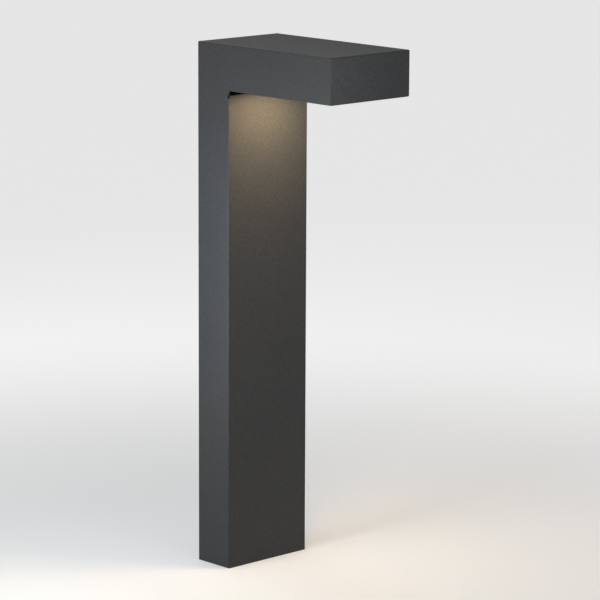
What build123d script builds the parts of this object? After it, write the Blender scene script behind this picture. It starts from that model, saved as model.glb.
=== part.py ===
from build123d import *
import math
import os

os.makedirs("parts", exist_ok=True)

# A bollard light: a flat rectangular column that turns a right angle into a flat head.
# A sealed LED engine in the head shines down through the head's underside onto the column's
# face and the path. Millimetres, +Z up. The origin is the centre of the column's foot on the
# ground, the head points to -Y, and the lit face of the column looks to -Y.

# ---- driving sizes -------------------------------------------------------------------------
height = 700.0
width = 140.0
reach = 250.0
column_depth = 60.0
head_height = 60.0

plate = 2.5
sheet = 2.0
edge_round = 1.0
corner_round = 1.5
seam_round = 0.35
fit_gap = 0.5

half_width = width / 2
inner_half = half_width - plate
back_y = column_depth / 2
front_y = -column_depth / 2
nose_y = back_y - reach
underside = height - head_height
back_inside_y = back_y - sheet
front_inside_y = front_y + sheet
top_inside = height - sheet

# ---- shared fasteners and leads ------------------------------------------------------------
M3_RADIUS = 1.5
M4_RADIUS = 2.0
M5_RADIUS = 2.5
M3_NUT = (5.5, 2.4)
M4_NUT = (7.0, 3.2)
M5_NUT = (8.0, 4.0)
M3_PAN = (2.8, 2.0)
M4_PAN = (3.8, 2.6)
countersunk_length = 9.0
thread_bite = 5.0
screw_tip = 1.0
hole_play = 0.2
core_radius = 1.3
lead_radius = 2.0


def countersunk_screw(radius, head_radius, length, key_radius=1.25, key_depth=1.2):
    """A 90 degree countersunk screw: head face at z = 0, shank running down -Z."""
    with BuildPart() as screw:
        with BuildSketch(Plane.XZ):
            with BuildLine():
                Polyline(
                    (0, 0),
                    (head_radius, 0),
                    (radius, radius - head_radius),
                    (radius, -length),
                    (0, -length),
                    close=True,
                )
            make_face()
        revolve(axis=Axis.Z)
        with BuildSketch():
            RegularPolygon(key_radius, 6)
        extrude(amount=-key_depth, mode=Mode.SUBTRACT)
    return screw.part


def pan_screw(radius, head, length, slot_width=0.8):
    """A pan head screw: underside of the head at z = 0, head upwards, shank down -Z."""
    head_radius, head_rise = head
    crown = 0.4 * head_rise
    slot_depth = 0.45 * head_rise
    with BuildPart() as screw:
        with Locations((0, 0, head_rise / 2)):
            Cylinder(head_radius, head_rise)
        fillet(screw.edges().sort_by(Axis.Z)[-1], crown)
        with Locations((0, 0, -length / 2)):
            Cylinder(radius, length)
        with Locations((0, 0, head_rise)):
            for turn in (0, 90):
                Box(
                    head_radius,
                    slot_width,
                    2 * slot_depth,
                    rotation=(0, 0, turn),
                    mode=Mode.SUBTRACT,
                )
    return screw.part


def hex_nut(radius, size):
    """A hexagon nut standing on z = 0."""
    across_flats, thickness = size
    with BuildPart() as nut:
        with BuildSketch():
            RegularPolygon(across_flats / 2, 6, major_radius=False)
            Circle(radius, mode=Mode.SUBTRACT)
        extrude(amount=thickness)
    return nut.part


# ---- folded and welded shell ---------------------------------------------------------------
# Two L-shaped cheeks, the full outline of the light seen from the side. Their outer edges are
# rounded over, and the inner corner has a narrow relief where the two folds inside meet.
relief_height = 9.5
relief_depth = 3.0

for side, start_x in (("left", -half_width), ("right", inner_half)):
    with BuildPart() as side_plate:
        with BuildSketch(Plane.YZ.offset(start_x)) as outline:
            with BuildLine():
                Polyline(
                    (back_y, 0),
                    (back_y, height),
                    (nose_y, height),
                    (nose_y, underside),
                    (front_y, underside),
                    (front_y, 0),
                    close=True,
                )
            make_face()
            fillet(outline.vertices().group_by(Axis.Y)[-1], corner_round)
            fillet(outline.vertices().group_by(Axis.X)[0].sort_by(Axis.Y)[0], corner_round)
        extrude(amount=plate)
        outer = side_plate.faces().sort_by(Axis.X)[0 if start_x < 0 else -1]
        fillet(outer.edges(), edge_round)
        with BuildSketch(Plane.YZ.offset(start_x)):
            with BuildLine():
                Polyline(
                    (front_y, underside),
                    (front_y + relief_depth, underside - relief_height),
                    (front_y - plate, underside - relief_height),
                    (front_y - plate, underside),
                    close=True,
                )
            make_face()
        extrude(amount=plate, mode=Mode.SUBTRACT)
    side_plate.part.label = f"{side}_side_plate"
    export_step(side_plate.part, f"parts/{side}_side_plate.step")

# One folded sheet between the cheeks makes the back, the top and the nose. Four countersunk
# holes at the foot of the back take the screws that hold the shell on its bracket.
shell_screw_x = 50.0
shell_screw_low = 34.0
shell_screw_pitch = 28.0
head_m4 = M4_RADIUS + sheet
back_holes = [
    Plane((x, back_y, z), x_dir=(1, 0, 0), z_dir=(0, 1, 0))
    for x in (-shell_screw_x, shell_screw_x)
    for z in (shell_screw_low, shell_screw_low + shell_screw_pitch)
]

with BuildPart() as outer_wrap:
    with BuildSketch(Plane.YZ.offset(-inner_half)) as outline:
        with BuildLine():
            Polyline(
                (back_y, 0),
                (back_y, height),
                (nose_y, height),
                (nose_y, underside),
                (nose_y + sheet, underside),
                (nose_y + sheet, top_inside),
                (back_inside_y, top_inside),
                (back_inside_y, 0),
                close=True,
            )
        make_face()
        fillet(outline.vertices().group_by(Axis.Y)[-1], corner_round)
    extrude(amount=2 * inner_half)
    ends = outer_wrap.faces().filter_by(Axis.X).edges()
    skin = 0.45 * sheet
    seams = ends.filter_by(
        lambda edge: (edge @ 0.5).Y > back_y - skin
        or (edge @ 0.5).Z > height - skin
        or (edge @ 0.5).Y < nose_y + skin
    )
    fillet(seams, seam_round)
    with Locations(*back_holes):
        CounterSinkHole(M4_RADIUS, head_m4, depth=sheet)
outer_wrap.part.label = "outer_wrap"
export_step(outer_wrap.part, "parts/outer_wrap.step")

# The column's front is a shallow channel: the lit face and two flanges along the cheeks.
flange_depth = 14.0
soffit_recess = 1.0
soffit_bottom = underside + soffit_recess
soffit_top = soffit_bottom + sheet

# The front stops short of the head's underside. Through the gap the warm air of the head gets
# out, where no rain reaches.
vent_gap = 7.0
front_top = soffit_bottom - vent_gap

with BuildPart() as column_front:
    with BuildSketch():
        with Locations((0, front_y)):
            Rectangle(2 * inner_half, flange_depth + sheet, align=(Align.CENTER, Align.MIN))
        with Locations((0, front_inside_y)):
            Rectangle(
                2 * (inner_half - sheet),
                flange_depth,
                align=(Align.CENTER, Align.MIN),
                mode=Mode.SUBTRACT,
            )
    extrude(amount=front_top)
    fillet(column_front.edges().filter_by(Axis.Z).group_by(Axis.Y)[0], seam_round)
column_front.part.label = "column_front"
export_step(column_front.part, "parts/column_front.step")

# An angle welded inside stiffens the free top edge of the column's front. Behind its upper leg
# there is a way up into the head for the lamp lead.
lead_way = 36.0
knee_leg = back_inside_y - front_inside_y - lead_way
knee_height = 43.0

with BuildPart() as knee_angle:
    with BuildSketch(Plane.YZ.offset(sheet - inner_half + fit_gap)):
        with BuildLine():
            Polyline(
                (front_inside_y, front_top),
                (front_inside_y + knee_leg, front_top),
                (front_inside_y + knee_leg, front_top - sheet),
                (front_inside_y + sheet, front_top - sheet),
                (front_inside_y + sheet, front_top - knee_height),
                (front_inside_y, front_top - knee_height),
                close=True,
            )
        make_face()
    extrude(amount=2 * (inner_half - sheet - fit_gap))
knee_angle.part.label = "knee_angle"
export_step(knee_angle.part, "parts/knee_angle.step")

# ---- head underside ------------------------------------------------------------------------
# The soffit closes the head from below. Its window lets the light out, four countersunk screws
# hold it to angles welded on the cheeks, and four flush studs carry the lens frame.
optic_gap = 65.0
window_x = 80.0
window_y = 70.0
window_round = 8.0
glass_lap = 7.0
glass_play = 0.5
frame_wall_x = 6.5
frame_wall_y = 7.5
optic_y = front_y - optic_gap
glass_x = window_x + 2 * glass_lap
glass_y = window_y + 2 * glass_lap
frame_x = glass_x + 2 * (glass_play + frame_wall_x)
frame_y = glass_y + 2 * (glass_play + frame_wall_y)
stud_x = 38.0
stud_y = frame_y / 2 - frame_wall_y / 2
stud_spots = [
    (x, optic_y + y) for x in (-stud_x, stud_x) for y in (-stud_y, stud_y)
]
bracket_leg = 11.5
bracket_width = 12.0
bracket_rise = 17.0
soffit_round = 1.0
screw_from_side = 6.0
screw_from_nose = 14.0
screw_from_column = 7.5
soffit_screw_x = inner_half - screw_from_side
soffit_screw_front = nose_y + sheet + screw_from_nose
soffit_screw_rear = front_y - screw_from_column
soffit_screw_spots = [
    (x, y)
    for x in (-soffit_screw_x, soffit_screw_x)
    for y in (soffit_screw_front, soffit_screw_rear)
]
soffit_near_y = front_y - fit_gap
soffit_far_y = nose_y + sheet + fit_gap

with BuildPart() as soffit_plate:
    with BuildSketch(Plane.XY.offset(soffit_bottom)):
        with Locations((0, (soffit_near_y + soffit_far_y) / 2)):
            RectangleRounded(
                2 * (inner_half - fit_gap), soffit_near_y - soffit_far_y, soffit_round
            )
        with Locations((0, optic_y)):
            RectangleRounded(window_x, window_y, window_round, mode=Mode.SUBTRACT)
        with Locations(*stud_spots):
            Circle(M3_RADIUS, mode=Mode.SUBTRACT)
    extrude(amount=sheet)
    with Locations(
        *[Plane((x, y, soffit_bottom), z_dir=(0, 0, -1)) for x, y in soffit_screw_spots]
    ):
        CounterSinkHole(M4_RADIUS, head_m4, depth=sheet)
soffit_plate.part.label = "soffit_plate"
export_step(soffit_plate.part, "parts/soffit_plate.step")

with BuildPart() as soffit_brackets:
    for x, y in soffit_screw_spots:
        hand = 1 if x > 0 else -1
        with BuildSketch(Plane.XZ.offset(-y - bracket_width / 2)):
            with BuildLine():
                Polyline(
                    (hand * inner_half, soffit_top),
                    (hand * inner_half, soffit_top + bracket_rise),
                    (hand * (inner_half - sheet), soffit_top + bracket_rise),
                    (hand * (inner_half - sheet), soffit_top + sheet),
                    (hand * (inner_half - bracket_leg), soffit_top + sheet),
                    (hand * (inner_half - bracket_leg), soffit_top),
                    close=True,
                )
            make_face()
        extrude(amount=bracket_width)
    with BuildSketch(Plane.XY.offset(soffit_top)):
        with Locations(*soffit_screw_spots):
            Circle(M4_RADIUS)
    extrude(amount=sheet, mode=Mode.SUBTRACT)
soffit_brackets.part.label = "soffit_brackets"
export_step(soffit_brackets.part, "parts/soffit_brackets.step")

m4_countersunk = countersunk_screw(M4_RADIUS, head_m4, countersunk_length)

with BuildPart() as soffit_screws:
    with Locations(
        *[Plane((x, y, soffit_bottom), z_dir=(0, 0, -1)) for x, y in soffit_screw_spots]
    ):
        add(m4_countersunk)
soffit_screws.part.label = "soffit_screws"
export_step(soffit_screws.part, "parts/soffit_screws.step")

# ---- light engine, from the lens upwards ---------------------------------------------------
gasket_thickness = 1.5
glass_thickness = 3.0
glass_chamfer = 0.4
gasket_step = 1.5
lip_lap = 4.0
frame_top_lip = 4.5
glass_bottom = soffit_top + gasket_thickness
glass_top = glass_bottom + glass_thickness
frame_top = glass_top + frame_top_lip

with BuildPart() as lens_gasket:
    with BuildSketch(Plane.XY.offset(soffit_top)):
        with Locations((0, optic_y)):
            RectangleRounded(glass_x, glass_y, window_round)
            RectangleRounded(
                window_x + 2 * gasket_step,
                window_y + 2 * gasket_step,
                window_round,
                mode=Mode.SUBTRACT,
            )
    extrude(amount=gasket_thickness)
lens_gasket.part.label = "lens_gasket"
export_step(lens_gasket.part, "parts/lens_gasket.step")

with BuildPart() as lens:
    with BuildSketch(Plane.XY.offset(glass_bottom)):
        with Locations((0, optic_y)):
            RectangleRounded(glass_x, glass_y, window_round)
    extrude(amount=glass_thickness)
    chamfer(lens.faces().filter_by(Axis.Z).edges(), glass_chamfer)
lens.part.label = "lens"
export_step(lens.part, "parts/lens.step")

standoff_flats = 5.5
standoff_thread = 8.0
standoff_edge = 3.5
standoff_x = frame_x / 2 - standoff_edge
standoff_y = 30.0
standoff_spots = [
    (x, optic_y + y) for x in (-standoff_x, standoff_x) for y in (-standoff_y, standoff_y)
]
standoff_bite = 5.5

with BuildPart() as lens_frame:
    with BuildSketch(Plane.XY.offset(soffit_top)):
        with Locations((0, optic_y)):
            RectangleRounded(frame_x, frame_y, window_round)
            RectangleRounded(
                window_x + 2 * (glass_lap - lip_lap),
                window_y + 2 * (glass_lap - lip_lap),
                window_round,
                mode=Mode.SUBTRACT,
            )
        with Locations(*stud_spots):
            Circle(M3_RADIUS + hole_play, mode=Mode.SUBTRACT)
    extrude(amount=frame_top - soffit_top)
    with BuildSketch(Plane.XY.offset(soffit_top)):
        with Locations((0, optic_y)):
            RectangleRounded(glass_x + 2 * glass_play, glass_y + 2 * glass_play, window_round)
    extrude(amount=glass_top - soffit_top, mode=Mode.SUBTRACT)
    with BuildSketch(Plane.XY.offset(frame_top)):
        with Locations(*standoff_spots):
            Circle(M3_RADIUS)
    extrude(amount=-standoff_bite, mode=Mode.SUBTRACT)
lens_frame.part.label = "lens_frame"
export_step(lens_frame.part, "parts/lens_frame.step")

stud_tip = 5.0
with BuildPart() as frame_studs:
    with BuildSketch(Plane.XY.offset(soffit_bottom)):
        with Locations(*stud_spots):
            Circle(M3_RADIUS)
    extrude(amount=frame_top + stud_tip - soffit_bottom)
frame_studs.part.label = "frame_studs"
export_step(frame_studs.part, "parts/frame_studs.step")

m3_nut = hex_nut(M3_RADIUS, M3_NUT)
with BuildPart() as frame_nuts:
    with Locations(*[(x, y, frame_top) for x, y in stud_spots]):
        add(m3_nut)
frame_nuts.part.label = "frame_nuts"
export_step(frame_nuts.part, "parts/frame_nuts.step")

standoff_length = 18.0
pad_thickness = 0.5
pad_inset = 1.0
throat_inset_x = 10.0
throat_inset_y = 12.0
board_margin_x = 10.0
board_margin_y = 7.0
board_thickness = 1.6
board_round = 2.0
throat_x = window_x - 2 * throat_inset_x
throat_y = window_y - 2 * throat_inset_y
board_x = throat_x + 2 * board_margin_x
board_y = throat_y + 2 * board_margin_y
sink_bottom = frame_top + standoff_length
board_top = sink_bottom - pad_thickness
board_bottom = board_top - board_thickness

with BuildPart() as standoffs:
    with BuildSketch(Plane.XY.offset(frame_top)):
        with Locations(*standoff_spots):
            RegularPolygon(standoff_flats / 2, 6, major_radius=False)
    extrude(amount=standoff_length)
    with BuildSketch(Plane.XY.offset(frame_top)):
        with Locations(*standoff_spots):
            Circle(M3_RADIUS)
    extrude(amount=-standoff_bite)
    with BuildSketch(Plane.XY.offset(sink_bottom)):
        with Locations(*standoff_spots):
            Circle(M3_RADIUS)
    extrude(amount=-standoff_thread, mode=Mode.SUBTRACT)
standoffs.part.label = "standoffs"
export_step(standoffs.part, "parts/standoffs.step")

# The reflector funnels from the board down to the lens.
reflector_wall = 1.0
reflector_play = 0.5
mouth_round = 7.0
throat_round = 5.0
mouth_x = window_x + 2 * (glass_lap - lip_lap - reflector_play)
mouth_y = window_y + 2 * (glass_lap - lip_lap - reflector_play)

with BuildPart() as reflector:
    for shrink, mode in ((0.0, Mode.ADD), (2 * reflector_wall, Mode.SUBTRACT)):
        with BuildSketch(Plane.XY.offset(glass_top)):
            with Locations((0, optic_y)):
                RectangleRounded(mouth_x - shrink, mouth_y - shrink, mouth_round)
        with BuildSketch(Plane.XY.offset(board_bottom)):
            with Locations((0, optic_y)):
                RectangleRounded(throat_x - shrink, throat_y - shrink, throat_round)
        loft(mode=mode)
reflector.part.label = "reflector"
export_step(reflector.part, "parts/reflector.step")

with BuildPart() as led_board:
    with BuildSketch(Plane.XY.offset(board_bottom)):
        with Locations((0, optic_y)):
            RectangleRounded(board_x, board_y, board_round)
    extrude(amount=board_thickness)
led_board.part.label = "led_board"
export_step(led_board.part, "parts/led_board.step")

chip_size = 3.0
chip_thickness = 0.7
chip_pitch = 13.0
chip_columns = 4
chip_rows = 3
with BuildPart() as led_chips:
    with BuildSketch(Plane.XY.offset(board_bottom)):
        with Locations((0, optic_y)):
            with GridLocations(chip_pitch, chip_pitch, chip_columns, chip_rows):
                Rectangle(chip_size, chip_size)
    extrude(amount=-chip_thickness)
led_chips.part.label = "led_chips"
export_step(led_chips.part, "parts/led_chips.step")

with BuildPart() as thermal_pad:
    with BuildSketch(Plane.XY.offset(board_top)):
        with Locations((0, optic_y)):
            Rectangle(board_x - 2 * pad_inset, board_y - 2 * pad_inset)
    extrude(amount=pad_thickness)
thermal_pad.part.label = "thermal_pad"
export_step(thermal_pad.part, "parts/thermal_pad.step")

sink_overhang = 1.0
sink_x = frame_x + 2 * sink_overhang
sink_y = 72.0
sink_base = 4.0
sink_headroom = 6.0
fin_count = 12
fin_pitch = 7.6
fin_thickness = 1.5
sink_top = sink_bottom + sink_base
fin_height = top_inside - sink_headroom - sink_top
with BuildPart() as heat_sink:
    with BuildSketch(Plane.XY.offset(sink_bottom)):
        with Locations((0, optic_y)):
            Rectangle(sink_x, sink_y)
        with Locations(*standoff_spots):
            Circle(M3_RADIUS + hole_play, mode=Mode.SUBTRACT)
    extrude(amount=sink_base)
    with BuildSketch(Plane.XY.offset(sink_top)):
        with Locations((0, optic_y)):
            with GridLocations(fin_pitch, 1, fin_count, 1):
                Rectangle(fin_thickness, sink_y)
    extrude(amount=fin_height)
heat_sink.part.label = "heat_sink"
export_step(heat_sink.part, "parts/heat_sink.step")

m3_pan = pan_screw(M3_RADIUS, M3_PAN, sink_base + thread_bite)
with BuildPart() as heat_sink_screws:
    with Locations(*[(x, y, sink_top) for x, y in standoff_spots]):
        add(m3_pan)
heat_sink_screws.part.label = "heat_sink_screws"
export_step(heat_sink_screws.part, "parts/heat_sink_screws.step")

# The board's socket sits beside the reflector's throat.
socket_size = (6.0, 10.0, 4.6)
socket_bore = 6.0
socket_x = board_x / 2 - socket_size[0] / 2
socket_z = board_bottom - socket_size[2] / 2
with BuildPart() as board_socket:
    with Locations((socket_x, optic_y, socket_z)):
        Box(*socket_size)
    socket_mouth = Plane((socket_x, optic_y + socket_size[1] / 2, socket_z), z_dir=(0, 1, 0))
    with BuildSketch(socket_mouth):
        Circle(lead_radius)
    extrude(amount=-socket_bore, mode=Mode.SUBTRACT)
board_socket.part.label = "board_socket"
export_step(board_socket.part, "parts/board_socket.step")

# ---- base ----------------------------------------------------------------------------------
gasket_rise = 2.0
base_thickness = 8.0
base_top = gasket_rise + base_thickness
base_half_x = inner_half - sheet - fit_gap
base_half_y = back_inside_y - fit_gap
base_round = 2.0
anchor_pitch_x = 104.0
anchor_pitch_y = 26.0
anchor_radius = 4.5
cable_hole = 12.0
foot_x = 29.0
tray_gap = 13.0
tray_sheet = 1.5
tray_half = 42.0
tray_front = back_inside_y - tray_gap
tray_back = tray_front + tray_sheet
foot_length = 8.0
foot_y = tray_back + foot_length / 2
gland_stand = 15.0
gland_y = tray_front - gland_stand

with BuildPart() as foot_gasket:
    with BuildSketch():
        Rectangle(2 * base_half_x, 2 * base_half_y)
        with Locations((0, gland_y)):
            Circle(cable_hole, mode=Mode.SUBTRACT)
        with GridLocations(anchor_pitch_x, anchor_pitch_y, 2, 2):
            Circle(anchor_radius, mode=Mode.SUBTRACT)
    extrude(amount=gasket_rise)
foot_gasket.part.label = "foot_gasket"
export_step(foot_gasket.part, "parts/foot_gasket.step")

with BuildPart() as base_plate:
    with BuildSketch(Plane.XY.offset(gasket_rise)):
        RectangleRounded(2 * base_half_x, 2 * base_half_y, base_round)
        with Locations((0, gland_y)):
            Circle(cable_hole, mode=Mode.SUBTRACT)
        with GridLocations(anchor_pitch_x, anchor_pitch_y, 2, 2):
            Circle(anchor_radius, mode=Mode.SUBTRACT)
        with Locations((-foot_x, foot_y), (foot_x, foot_y)):
            Circle(M4_RADIUS, mode=Mode.SUBTRACT)
    extrude(amount=base_thickness)
base_plate.part.label = "base_plate"
export_step(base_plate.part, "parts/base_plate.step")

# A rubber grommet lines the cable hole above the plate.
grommet_bore = 9.5
grommet_lip = 2.5
grommet_rise = 2.0
with BuildPart() as cable_grommet:
    with BuildSketch(Plane.XZ.offset(-gland_y)):
        with BuildLine():
            Polyline(
                (grommet_bore, gasket_rise),
                (cable_hole, gasket_rise),
                (cable_hole, base_top),
                (cable_hole + grommet_lip, base_top),
                (cable_hole + grommet_lip, base_top + grommet_rise),
                (grommet_bore, base_top + grommet_rise),
                close=True,
            )
        make_face()
    revolve(axis=Axis((0, gland_y, 0), (0, 0, 1)))
cable_grommet.part.label = "cable_grommet"
export_step(cable_grommet.part, "parts/cable_grommet.step")

# The bracket welded on the plate's rear edge holds the shell by its four back screws.
bracket_sheet = 2.5
bracket_half = 60.0
bracket_top = 74.0
bracket_round = 4.0
bracket_back = back_inside_y - fit_gap
bracket_front = bracket_back - bracket_sheet
bracket_faces = [
    Plane((hole.origin.X, bracket_back, hole.origin.Z), z_dir=(0, 1, 0)) for hole in back_holes
]
with BuildPart() as shell_bracket:
    with BuildSketch(Plane.XZ.offset(-bracket_back)):
        with Locations((0, base_top)):
            Rectangle(2 * bracket_half, bracket_top - base_top, align=(Align.CENTER, Align.MIN))
    extrude(amount=bracket_sheet)
    fillet(shell_bracket.edges().filter_by(Axis.Y).group_by(Axis.Z)[-1], bracket_round)
    with Locations(*bracket_faces):
        Hole(M4_RADIUS + hole_play, depth=bracket_sheet)
shell_bracket.part.label = "shell_bracket"
export_step(shell_bracket.part, "parts/shell_bracket.step")

m4_nut = hex_nut(M4_RADIUS, M4_NUT)
with BuildPart() as bracket_nuts:
    with Locations(
        *[
            Plane((hole.origin.X, bracket_front, hole.origin.Z), z_dir=(0, -1, 0))
            for hole in back_holes
        ]
    ):
        add(m4_nut)
bracket_nuts.part.label = "bracket_nuts"
export_step(bracket_nuts.part, "parts/bracket_nuts.step")

with BuildPart() as shell_screws:
    with Locations(*back_holes):
        add(m4_countersunk)
shell_screws.part.label = "shell_screws"
export_step(shell_screws.part, "parts/shell_screws.step")

# ---- gear tray -----------------------------------------------------------------------------
# A folded steel sheet stands on the base plate behind an arched window for the cable. The gear
# hangs on its front side, facing the column's front panel.
window_half = 16.0
window_top = 42.0
tray_flange = 8.0
tray_flange_low = 80.0
shelf_z = 70.0
shelf_tab = 20.0
rivet_x = 16.0
rivet_drop = 8.0
rivet_z = shelf_z + shelf_tab - rivet_drop
driver_low = 172.0
driver_length = 130.0
driver_width = 68.0
driver_depth = 28.0
driver_ear = 11.0
driver_screw_low = driver_low - driver_ear / 2
driver_screw_high = driver_low + driver_length + driver_ear / 2
terminal_low = 104.0
terminal_height = 26.0
terminal_width = 48.0
terminal_depth = 20.5
terminal_ear = 8.0
terminal_ear_thickness = 3.0
terminal_screw_rise = 6.0
terminal_screw_x = terminal_width / 2 + terminal_ear / 2
terminal_screw_z = terminal_low + terminal_screw_rise
earth_x = 33.0
earth_z = 150.0
plug_stand = 7.0
plug_rise = 34.0
plug_y = tray_front - plug_stand
plug_low = driver_low + driver_length + plug_rise
plug_length = 22.0
plug_width = 12.0
plug_joint = plug_low + plug_length
plug_top = plug_joint + plug_length
clip_width = 9.0
clip_height = 8.0
clip_start = 12.0
clip_pitch = 18.0
clip_z = [plug_top + clip_start, plug_top + clip_start + clip_pitch]
tray_end = 10.0
tray_top = clip_z[-1] + tray_end

with BuildPart() as gear_tray:
    with BuildSketch(Plane.XZ.offset(-tray_back)):
        with Locations((0, base_top)):
            Rectangle(2 * tray_half, tray_top - base_top, align=(Align.CENTER, Align.MIN))
            Rectangle(
                2 * window_half,
                window_top - base_top,
                align=(Align.CENTER, Align.MIN),
                mode=Mode.SUBTRACT,
            )
    extrude(amount=tray_sheet)
    with BuildSketch(Plane.XY.offset(base_top)):
        for hand in (-1, 1):
            with Locations((hand * (window_half + tray_half) / 2, tray_back)):
                Rectangle(
                    tray_half - window_half, foot_length, align=(Align.CENTER, Align.MIN)
                )
            with Locations((hand * foot_x, foot_y)):
                Circle(M4_RADIUS + hole_play, mode=Mode.SUBTRACT)
    extrude(amount=tray_sheet)
    with BuildSketch(Plane.XY.offset(tray_flange_low)):
        for hand in (-1, 1):
            with Locations((hand * (tray_half - tray_sheet / 2), tray_front)):
                Rectangle(tray_sheet, tray_flange, align=(Align.CENTER, Align.MAX))
    extrude(amount=tray_top - tray_flange_low)
    with BuildSketch(Plane.XZ.offset(-tray_back)):
        with Locations((-rivet_x, rivet_z), (rivet_x, rivet_z)):
            Circle(M3_RADIUS)
        with Locations((0, driver_screw_low), (0, driver_screw_high)):
            Circle(M4_RADIUS)
        with Locations(
            (-terminal_screw_x, terminal_screw_z), (terminal_screw_x, terminal_screw_z)
        ):
            Circle(M3_RADIUS)
        with Locations((earth_x, earth_z)):
            Circle(M5_RADIUS)
    extrude(amount=tray_sheet, mode=Mode.SUBTRACT)
gear_tray.part.label = "gear_tray"
export_step(gear_tray.part, "parts/gear_tray.step")

m4_pan = pan_screw(M4_RADIUS, M4_PAN, tray_sheet + base_thickness - screw_tip)
with BuildPart() as tray_screws:
    with Locations(
        (-foot_x, foot_y, base_top + tray_sheet), (foot_x, foot_y, base_top + tray_sheet)
    ):
        add(m4_pan)
tray_screws.part.label = "tray_screws"
export_step(tray_screws.part, "parts/tray_screws.step")

# ---- cable entry ---------------------------------------------------------------------------
# A riveted shelf carries the cable gland over the hole in the base plate. It ends part way
# between the gland's thread and the column's front.
shelf_half = 22.0
gland_thread = 10.0
shelf_share = 5 / 9
thread_front_y = gland_y - gland_thread
shelf_front_y = thread_front_y - shelf_share * (thread_front_y - front_inside_y)
with BuildPart() as gland_shelf:
    with BuildSketch(Plane.YZ.offset(-shelf_half)):
        with BuildLine():
            Polyline(
                (tray_front, shelf_z),
                (tray_front, shelf_z + shelf_tab),
                (tray_front - tray_sheet, shelf_z + shelf_tab),
                (tray_front - tray_sheet, shelf_z + tray_sheet),
                (shelf_front_y, shelf_z + tray_sheet),
                (shelf_front_y, shelf_z),
                close=True,
            )
        make_face()
    extrude(amount=2 * shelf_half)
    with BuildSketch(Plane.XY.offset(shelf_z)):
        with Locations((0, gland_y)):
            Circle(gland_thread)
    extrude(amount=tray_sheet, mode=Mode.SUBTRACT)
    with BuildSketch(Plane.XZ.offset(-tray_front)):
        with Locations((-rivet_x, rivet_z), (rivet_x, rivet_z)):
            Circle(M3_RADIUS)
    extrude(amount=tray_sheet, mode=Mode.SUBTRACT)
gland_shelf.part.label = "gland_shelf"
export_step(gland_shelf.part, "parts/gland_shelf.step")

rivet_head = 1.2
with BuildPart() as shelf_rivets:
    for x in (-rivet_x, rivet_x):
        with BuildSketch(Plane.XZ.offset(tray_sheet - tray_front)):
            with Locations((x, rivet_z)):
                Circle(2 * M3_RADIUS)
        extrude(amount=rivet_head)
        with BuildSketch(Plane.XZ.offset(tray_sheet - tray_front)):
            with Locations((x, rivet_z)):
                Circle(M3_RADIUS)
        extrude(amount=-2 * tray_sheet)
        with BuildSketch(Plane.XZ.offset(-tray_back)):
            with Locations((x, rivet_z)):
                Circle(2 * M3_RADIUS)
        extrude(amount=-rivet_head)
shelf_rivets.part.label = "shelf_rivets"
export_step(shelf_rivets.part, "parts/shelf_rivets.step")

# Cable gland, from the top down: locknut, hexagon collar, seal pocket, domed nut.
gland_bore = 6.5
gland_flats = 24.0
collar_height = 7.0
locknut_height = 5.0
spigot_rise = 2.0
spigot_top = shelf_z + tray_sheet + locknut_height + spigot_rise
pocket_top = shelf_z - collar_height
pocket_depth = 12.0
pocket_low = pocket_top - pocket_depth
seal_outer = 8.0
seal_bore = 5.0
seal_height = 10.0
collet_outer = 9.6
nut_wall = 2.2
dome_height = 5.0
with BuildPart() as gland_body:
    with BuildSketch(Plane.XY.offset(pocket_top)):
        with Locations((0, gland_y)):
            RegularPolygon(gland_flats / 2, 6, major_radius=False)
    extrude(amount=collar_height)
    with BuildSketch(Plane.XY.offset(shelf_z)):
        with Locations((0, gland_y)):
            Circle(gland_thread)
    extrude(amount=spigot_top - shelf_z)
    with BuildSketch(Plane.XY.offset(pocket_low)):
        with Locations((0, gland_y)):
            Circle(collet_outer)
    extrude(amount=pocket_depth)
    with BuildSketch(Plane.XY.offset(pocket_low)):
        with Locations((0, gland_y)):
            Circle(gland_bore)
    extrude(amount=spigot_top - pocket_low, mode=Mode.SUBTRACT)
    with BuildSketch(Plane.XY.offset(pocket_low)):
        with Locations((0, gland_y)):
            Circle(seal_outer)
    extrude(amount=pocket_depth, mode=Mode.SUBTRACT)
gland_body.part.label = "gland_body"
export_step(gland_body.part, "parts/gland_body.step")

with BuildPart() as gland_seal:
    with BuildSketch(Plane.XY.offset(pocket_top - seal_height)):
        with Locations((0, gland_y)):
            Circle(seal_outer)
            Circle(seal_bore, mode=Mode.SUBTRACT)
    extrude(amount=seal_height)
gland_seal.part.label = "gland_seal"
export_step(gland_seal.part, "parts/gland_seal.step")

gland_nut_low = pocket_low - dome_height
nut_gap = 1.5
dome_step = 0.2
gland_nut_top = pocket_top - nut_gap
with BuildPart() as gland_nut:
    with BuildSketch(Plane.XY.offset(pocket_low)):
        with Locations((0, gland_y)):
            RegularPolygon(gland_flats / 2, 6, major_radius=False)
    extrude(amount=gland_nut_top - pocket_low)
    with BuildSketch(Plane.XY.offset(pocket_low)):
        with Locations((0, gland_y)):
            Circle(gland_flats / 2 - dome_step)
    with BuildSketch(Plane.XY.offset(gland_nut_low)):
        with Locations((0, gland_y)):
            Circle(seal_outer + nut_wall)
    loft()
    with BuildSketch(Plane.XY.offset(pocket_low)):
        with Locations((0, gland_y)):
            Circle(collet_outer)
    extrude(amount=gland_nut_top - pocket_low, mode=Mode.SUBTRACT)
    with BuildSketch(Plane.XY.offset(gland_nut_low)):
        with Locations((0, gland_y)):
            Circle(gland_bore)
    extrude(amount=dome_height, mode=Mode.SUBTRACT)
gland_nut.part.label = "gland_nut"
export_step(gland_nut.part, "parts/gland_nut.step")

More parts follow.
